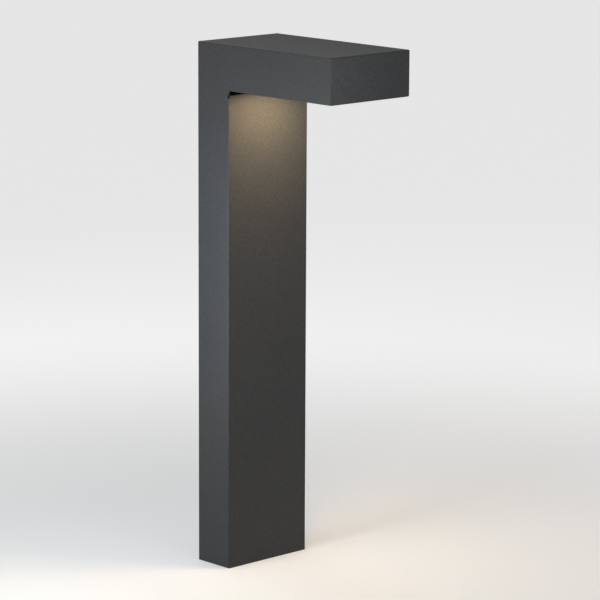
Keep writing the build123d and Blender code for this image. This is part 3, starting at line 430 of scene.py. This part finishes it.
screw_radius = 0.002
head_radius = 0.004
head_land = 0.00025
screw_length = 0.009
socket_half = 0.00125
socket_depth = 0.0013
socket_chamfer = 0.0002
tip_chamfer = 0.0005
rim_round = 0.0001
drill_point = 0.0004
countersunk = turned(
    "countersunk_screw",
    [
        (screw_radius - tip_chamfer, -screw_length, 0),
        (screw_radius, -screw_length + tip_chamfer, 0),
        (screw_radius, screw_radius - head_radius - head_land, 0),
        (head_radius, -head_land, 0),
        (head_radius - rim_round, 0.0, 0),
        (socket_half + 4 * socket_chamfer, 0.0, 0),
        (socket_half + socket_chamfer, 0.0, 6),
        (socket_half, -socket_chamfer, 6),
        (socket_half, -socket_depth, 6),
    ],
    (-screw_length, -socket_depth - drill_point),
)
black_steel = dull_steel("blackened_steel", (0.045, 0.046, 0.048), 0.42, 0.5, 900.0)


def spread(low, high, radius, axis):
    """The two places of a pair of like screws along one axis of their node's box."""
    return (low[axis] + radius, high[axis] - radius)


low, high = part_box("shell_screws")
shell_screws = set_out(
    "shell_screw_set",
    countersunk,
    [
        (x, high.y, z)
        for x in spread(low, high, head_radius, 0)
        for z in spread(low, high, head_radius, 2)
    ],
    (-math.pi / 2, 0.0, 0.0),
    math.pi,
    4,
    black_steel,
)
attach(shell_screws, "light")
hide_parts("shell_screws")

low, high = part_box("soffit_screws")
soffit_screws = set_out(
    "soffit_screw_set",
    countersunk,
    [
        (x, y, low.z)
        for x in spread(low, high, head_radius, 0)
        for y in spread(low, high, head_radius, 1)
    ],
    (math.pi, 0.0, 0.0),
    math.pi,
    7,
    black_steel,
)
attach(soffit_screws, "light")
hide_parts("soffit_screws")
bpy.data.objects.remove(countersunk)


# ---------------------------------------------------------------------------------------------
# Zinc-plated steel: the base plate, the brackets, the gear tray and its shelf, and the studs,
# rivets and screws that hold them. The passivated zinc is grey-white with a slow bluish drift.
zinc = dull_steel("zinc_plate", (0.60, 0.61, 0.63), 0.42, 0.9, 500.0)
paint(
    zinc,
    "base_plate",
    "shell_bracket",
    "gear_tray",
    "tray_screws",
    "gland_shelf",
    "shelf_rivets",
    "terminal_screws",
    "driver_screws",
    "earth_nut",
    "earth_stud",
    "standoffs",
    "heat_sink_screws",
    "frame_studs",
)


# ---------------------------------------------------------------------------------------------
# Nuts: M4 nuts behind the shell bracket and M3 nuts on the lens frame's studs, plain zinc-plated
# hexagons with their corners turned off at both faces and a small lead-in at the thread.
def hex_nut(name, bore, flats, thickness):
    half = flats / 2
    corner_cut = 0.16 * half
    lead_in = 0.0002
    return turned(
        name,
        [
            (bore, lead_in, 0),
            (bore, thickness - lead_in, 0),
            (bore + lead_in, thickness, 0),
            (half - lead_in / 2, thickness, 0),
            (half, thickness - corner_cut, 6),
            (half, corner_cut, 6),
            (half - lead_in / 2, 0.0, 0),
            (bore + lead_in, 0.0, 0),
        ][::-1],
        None,
    )


stud_radius = 0.0015
m4_flats, m4_thickness = 0.007, 0.0032
m3_flats, m3_thickness = 0.0055, 0.0024
nut_m4 = hex_nut("nut_m4", screw_radius, m4_flats, m4_thickness)
nut_m3 = hex_nut("nut_m3", stud_radius, m3_flats, m3_thickness)
nut_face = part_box("bracket_nuts")[1].y
low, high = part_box("shell_screws")
bracket_nuts = set_out(
    "bracket_nut_set",
    nut_m4,
    [
        (x, nut_face, z)
        for x in spread(low, high, head_radius, 0)
        for z in spread(low, high, head_radius, 2)
    ],
    (math.pi / 2, 0.0, 0.0),
    0.0,
    1,
    zinc,
)
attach(bracket_nuts, "light")
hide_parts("bracket_nuts")

low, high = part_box("frame_studs")
frame_nuts = set_out(
    "frame_nut_set",
    nut_m3,
    [
        (x, y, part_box("frame_nuts")[0].z)
        for x in spread(low, high, stud_radius, 0)
        for y in spread(low, high, stud_radius, 1)
    ],
    (0.0, 0.0, 0.0),
    0.0,
    2,
    zinc,
)
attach(frame_nuts, "light")
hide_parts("frame_nuts")
for spare in (nut_m4, nut_m3):
    bpy.data.objects.remove(spare)


# ---------------------------------------------------------------------------------------------
# Seals: the lens gasket of grey-black silicone, and the foot gasket, the grommet and the gland's
# seal of black rubber, with the dull bloom and fine pitting of moulded rubber.
def moulded(name, colour, roughness, pit_size, pit_height, drift=0.3):
    material, tree = new_material(name)
    place = tree.node("ShaderNodeTexCoord", out=3)
    pits = tree.node(
        "ShaderNodeTexNoise", None, {"Vector": place, "Scale": 1 / pit_size, "Detail": 2.0}
    )
    bloom = tree.node(
        "ShaderNodeTexNoise", None, {"Vector": place, "Scale": 45.0, "Detail": 3.0}
    )
    tone = 1.0 - drift + bloom * drift + pits * drift
    bump = tree.node(
        "ShaderNodeBump", None, {"Height": pits, "Strength": 0.3, "Distance": pit_height}
    )
    cover(
        tree,
        tree.node(
            "ShaderNodeBsdfPrincipled",
            None,
            {
                "Base Color": tone.blend((0, 0, 0, 1), (*colour, 1)),
                "Roughness": roughness - 0.08 + bloom * 0.16,
                "Normal": bump,
            },
        ),
    )
    return material


paint(
    moulded("black_rubber", (0.030, 0.030, 0.031), 0.78, 0.0006, 0.0002),
    "lens_gasket",
    "foot_gasket",
    "cable_grommet",
    "gland_seal",
)


# ---------------------------------------------------------------------------------------------
# Lens: 3 mm toughened glass, satin on its upper face, bedded on the gasket above the window. It
# scatters part of the light, so it glows warm from below while the light is on.
led_colour = (1.0, 0.71, 0.39)
satin_glass, tree = new_material("satin_glass")
place = tree.node("ShaderNodeTexCoord", out=3)
frost = tree.node("ShaderNodeTexNoise", None, {"Vector": place, "Scale": 900.0, "Detail": 2.0})
low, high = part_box("lens")
middle = (low + high) / 2
x_from, y_from = [
    tree.math("ABSOLUTE", tree.node("ShaderNodeSeparateXYZ", None, {0: place}, out=axis) - middle[axis])
    for axis in (0, 1)
]
fall_per_metre = 9.0
spill = 1.0 - x_from * fall_per_metre - y_from * fall_per_metre + frost * 0.1
cover(
    tree,
    tree.node(
        "ShaderNodeBsdfPrincipled",
        None,
        {
            "Base Color": frost.blend((0.80, 0.82, 0.80, 1), (0.92, 0.94, 0.92, 1)),
            "Roughness": 0.24 + frost * 0.12,
            "Alpha": 0.45 + frost * 0.1,
            "Emission Color": spill.blend((0.30, 0.20, 0.10, 1), (*led_colour, 1)),
            "Emission Strength": 1.2,
            "Normal": tree.node(
                "ShaderNodeBump", None, {"Height": frost, "Strength": 0.15, "Distance": 0.0001}
            ),
        },
    ),
)
paint(satin_glass, "lens")

# What leaves the glass is one broad warm light just under it, held inside the window's frame.
# Its beam is a little narrower than a flat lamp's, which starts the pool of light lower down.
under_glass = 0.0013
light_width = 0.076
light_length = 0.044
light_watts = 1.08
beam_angle = 168.0
soft_box(
    "lens_light",
    (0.0, middle.y, low.z - under_glass),
    (0.0, middle.y, 0.0),
    light_width,
    light_length,
    light_watts,
    led_colour,
    spread=beam_angle,
)


# ---------------------------------------------------------------------------------------------
# Lens frame: a die-cast aluminium ring, black anodised, that clamps the glass on its gasket. The
# casting skin is a little pitted.
paint(moulded("black_anodised", (0.045, 0.045, 0.048), 0.5, 0.0008, 0.0002), "lens_frame")


# ---------------------------------------------------------------------------------------------
# Reflector: pressed from bright anodised aluminium sheet, faintly rippled by the press. Fine
# drawing lines run down its walls.
reflector_skin, tree = new_material("bright_anodised")
place = tree.node("ShaderNodeTexCoord", out=3)
ripple = tree.node("ShaderNodeTexNoise", None, {"Vector": place, "Scale": 70.0, "Detail": 1.0})
stretch = tree.node("ShaderNodeMapping", None, {"Vector": place, "Scale": (1.0, 1.0, 0.03)})
lines = tree.node("ShaderNodeTexNoise", None, {"Vector": stretch, "Scale": 2200.0})
cover(
    tree,
    tree.node(
        "ShaderNodeBsdfPrincipled",
        None,
        {
            "Base Color": ripple.blend((0.82, 0.83, 0.84, 1), (0.92, 0.92, 0.91, 1)),
            "Metallic": 1.0,
            "Roughness": 0.14 + lines * 0.12,
            "Normal": tree.node(
                "ShaderNodeBump", None, {"Height": ripple, "Strength": 0.2, "Distance": 0.0004}
            ),
        },
    ),
)
paint(reflector_skin, "reflector")


# ---------------------------------------------------------------------------------------------
# LED board: an aluminium-core board under white solder mask, with faint tracks that join the
# twelve LEDs in rows.
white_mask, tree = new_material("white_solder_mask")
place = tree.node("ShaderNodeTexCoord", out=3)
low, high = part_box("led_chips")
chip_half = 0.0015
columns, rows = 4, 3
pitch = (high.x - low.x - 2 * chip_half) / (columns - 1)
row_y = [low.y + chip_half + pitch * row for row in range(rows)]
y_place = tree.node("ShaderNodeSeparateXYZ", None, {0: place}, out=1)
weave = tree.node("ShaderNodeTexNoise", None, {"Vector": place, "Scale": 700.0, "Detail": 2.0})
track_half = 0.0011
tracks = sum(tree.math("COMPARE", y_place, y) for y in row_y)
for compare in [n for n in tree.tree.nodes if n.type == "MATH" and n.operation == "COMPARE"]:
    compare.inputs[2].default_value = track_half
cover(
    tree,
    tree.node(
        "ShaderNodeBsdfPrincipled",
        None,
        {
            "Base Color": (tracks * 0.75 + weave * 0.25).blend(
                (0.80, 0.80, 0.77, 1), (0.66, 0.65, 0.60, 1)
            ),
            "Roughness": 0.38 + weave * 0.1,
            "Normal": tree.node(
                "ShaderNodeBump",
                None,
                {"Height": tracks + weave * 0.2, "Strength": 0.4, "Distance": 0.00006},
            ),
        },
    ),
)
paint(white_mask, "led_board")


# ---------------------------------------------------------------------------------------------
# LEDs: twelve white ceramic packages with a round well of phosphor, soldered face down under the
# board in three rows of four. They are lit.
chip_height = high.z - low.z
well_rim = 0.00122
well_floor = 0.00110
package = turned(
    "led_package",
    [
        (chip_half, 0.0, 4),
        (chip_half, 0.8 * chip_height, 4),
        (chip_half - rim_round, chip_height, 4),
        (well_rim, chip_height, 0),
        (well_floor, 0.72 * chip_height, 0),
    ],
    (0.0, 0.86 * chip_height),
    "phosphor",
)
lit_phosphor, tree = new_material("led_package")
mask = tree.node("ShaderNodeAttribute", {"attribute_name": "phosphor"}, out=2)
place = tree.node("ShaderNodeTexCoord", out=3)
grain = tree.node("ShaderNodeTexNoise", None, {"Vector": place, "Scale": 6000.0, "Detail": 2.0})
cover(
    tree,
    tree.node(
        "ShaderNodeBsdfPrincipled",
        None,
        {
            "Base Color": (mask * 0.9 + grain * 0.1).blend((0.84, 0.83, 0.80, 1), (0.93, 0.66, 0.16, 1)),
            "Roughness": 0.32 + grain * 0.2,
            "Emission Color": mask.blend((0, 0, 0, 1), (1.0, 0.78, 0.5, 1)),
            "Emission Strength": 6.0,
        },
    ),
)
led_chips = set_out(
    "led_chip_set",
    package,
    [(low.x + chip_half + pitch * column, y, high.z) for column in range(columns) for y in row_y],
    (math.pi, 0.0, 0.0),
    0.0,
    3,
    lit_phosphor,
)
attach(led_chips, "light")
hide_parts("led_chips")
bpy.data.objects.remove(package)


# ---------------------------------------------------------------------------------------------
# Thermal pad and heat sink: a soft grey silicone pad filled with ceramic grit, and an extruded
# aluminium sink, left bright, with the draw lines of its die along the fins.
paint(moulded("filled_silicone", (0.30, 0.33, 0.36), 0.7, 0.0005, 0.0002), "thermal_pad")


def drawn_metal(name, colour, roughness, along):
    """Metal with fine draw lines; along squeezes the axis that they run on."""
    material, tree = new_material(name)
    place = tree.node("ShaderNodeTexCoord", out=3)
    stretch = tree.node("ShaderNodeMapping", None, {"Vector": place, "Scale": along})
    lines = tree.node(
        "ShaderNodeTexNoise", None, {"Vector": stretch, "Scale": 1500.0, "Detail": 3.0}
    )
    dull = tree.node("ShaderNodeTexNoise", None, {"Vector": place, "Scale": 40.0, "Detail": 3.0})
    cover(
        tree,
        tree.node(
            "ShaderNodeBsdfPrincipled",
            None,
            {
                "Base Color": (0.7 + lines * 0.35 + dull * 0.2).blend((0, 0, 0, 1), (*colour, 1)),
                "Metallic": 0.95,
                "Roughness": roughness - 0.1 + lines * 0.12 + dull * 0.1,
                "Normal": tree.node(
                    "ShaderNodeBump", None, {"Height": lines, "Strength": 0.3, "Distance": 0.00008}
                ),
            },
        ),
    )
    return material


paint(drawn_metal("extruded_aluminium", (0.74, 0.75, 0.77), 0.36, (1.0, 0.02, 1.0)), "heat_sink")


# ---------------------------------------------------------------------------------------------
# Cable gland: nickel-plated brass, turned bright, from the locknut on the shelf down to the
# domed nut that squeezes the seal on the cable.
paint(
    drawn_metal("nickel_brass", (0.72, 0.70, 0.64), 0.28, (1.0, 1.0, 0.2)),
    "gland_body",
    "gland_nut",
    "gland_locknut",
)


# ---------------------------------------------------------------------------------------------
# Terminal block: a grey glass-filled block with three copper bars, and an orange clamp lever on
# a cross pin for each pole. The ring terminal on the earth lead is tinned copper too.
paint(moulded("grey_block", (0.42, 0.43, 0.45), 0.5, 0.0007, 0.0001, 0.16), "terminal_block")
paint(
    moulded("orange_lever", (0.85, 0.26, 0.03), 0.36, 0.0009, 0.0001, 0.12),
    "line_lever",
    "neutral_lever",
    "earth_lever",
)
paint(
    drawn_metal("tinned_copper", (0.80, 0.62, 0.48), 0.3, (1.0, 1.0, 0.05)),
    "terminal_bars",
    "ring_terminal",
)
paint(moulded("white_nylon", (0.80, 0.80, 0.77), 0.45, 0.0007, 0.0001, 0.1), "board_socket")


# ---------------------------------------------------------------------------------------------
# Driver: a black moulded case and cover around a green circuit board, a taped transformer and
# three sleeved capacitors. The plug, its socket and the lead clips are the same black plastic.
paint(
    moulded("black_moulding", (0.050, 0.050, 0.053), 0.52, 0.0010, 0.0003),
    "driver_case",
    "driver_cover",
    "lamp_plug",
    "lamp_socket",
    "lead_clips",
)
paint(moulded("capacitor_sleeve", (0.02, 0.03, 0.06), 0.3, 0.002, 0.00005, 0.15), "driver_capacitors")
paint(moulded("transformer_tape", (0.62, 0.46, 0.08), 0.4, 0.0015, 0.0001, 0.25), "driver_transformer")

green_board, tree = new_material("green_circuit_board")
place = tree.node("ShaderNodeTexCoord", out=3)
upright_place = tree.node(
    "ShaderNodeMapping", None, {"Vector": place, "Rotation": (math.pi / 2, 0.0, 0.0)}
)
tracks = tree.node(
    "ShaderNodeTexBrick",
    {"offset": 0.5},
    {
        "Vector": upright_place,
        "Color1": (0, 0, 0, 1),
        "Color2": (0, 0, 0, 1),
        "Mortar": (1, 1, 1, 1),
        "Scale": 90.0,
        "Mortar Size": 0.03,
    },
    out=1,
)
fibre = tree.node("ShaderNodeTexNoise", None, {"Vector": place, "Scale": 1200.0})
cover(
    tree,
    tree.node(
        "ShaderNodeBsdfPrincipled",
        None,
        {
            "Base Color": (tracks * 0.8 + fibre * 0.2).blend((0.02, 0.17, 0.06, 1), (0.06, 0.32, 0.11, 1)),
            "Roughness": 0.34 + fibre * 0.12,
            "Normal": tree.node(
                "ShaderNodeBump", None, {"Height": tracks, "Strength": 0.3, "Distance": 0.00006}
            ),
        },
    ),
)
paint(green_board, "driver_board")


# ---------------------------------------------------------------------------------------------
# Leads: brown, blue and green-and-yellow single cores from the terminal block, and two black
# sheathed leads from the driver up to the board in the head.
paint(moulded("brown_pvc", (0.17, 0.075, 0.03), 0.36, 0.0015, 0.0001, 0.15), "live_lead")
paint(moulded("blue_pvc", (0.03, 0.13, 0.48), 0.36, 0.0015, 0.0001, 0.15), "neutral_lead")
paint(moulded("black_sheath", (0.022, 0.022, 0.023), 0.6, 0.0008, 0.0002), "driver_lead", "lamp_lead")

striped, tree = new_material("green_and_yellow_pvc")
place = tree.node("ShaderNodeTexCoord", out=3)
low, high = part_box("earth_lead")
core_radius = 0.0013
x_place = tree.node("ShaderNodeSeparateXYZ", None, {0: place}, out=0)
gloss = tree.node("ShaderNodeTexNoise", None, {"Vector": place, "Scale": 500.0})
stripe = x_place > low.x + core_radius
cover(
    tree,
    tree.node(
        "ShaderNodeBsdfPrincipled",
        None,
        {
            "Base Color": (stripe * 0.9 + gloss * 0.1).blend((0.80, 0.66, 0.03, 1), (0.03, 0.30, 0.06, 1)),
            "Roughness": 0.32 + gloss * 0.12,
        },
    ),
)
paint(striped, "earth_lead")
